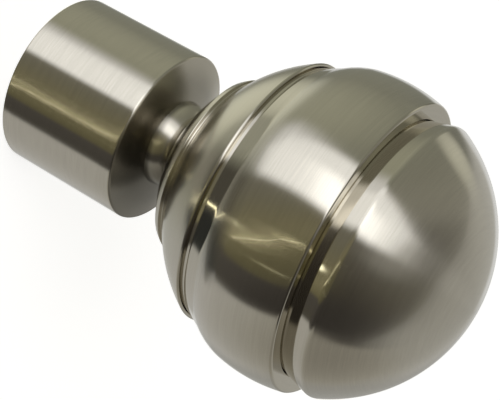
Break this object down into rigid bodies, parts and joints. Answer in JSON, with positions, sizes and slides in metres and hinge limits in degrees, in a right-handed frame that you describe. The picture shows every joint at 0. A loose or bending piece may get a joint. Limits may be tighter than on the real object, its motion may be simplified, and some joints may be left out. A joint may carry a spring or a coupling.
{
  "type": "curtain pole finial",
  "caption": "Grooved ball finial on a short necked socket that slips over the end of a round curtain pole, in satin and polished nickel.",
  "frame": {"origin": "centre of the socket's mouth, in the plane of its rim", "axes": "+Z along the finial's axis from the socket to the tip of the ball; +Y through the grub screw"},
  "size_m": [0.0564, 0.0564, 0.0875],
  "materials": {
    "satin_nickel": "brushed nickel plate under clear lacquer on the socket, middle band and dome, polished in the neck, collar, back and grooves",
    "screw_steel": "plain machined steel"
  },
  "bodies": {
    "root": {"finial_body": "satin_nickel", "grub_screw": "screw_steel"}
  },
  "joints": []
}
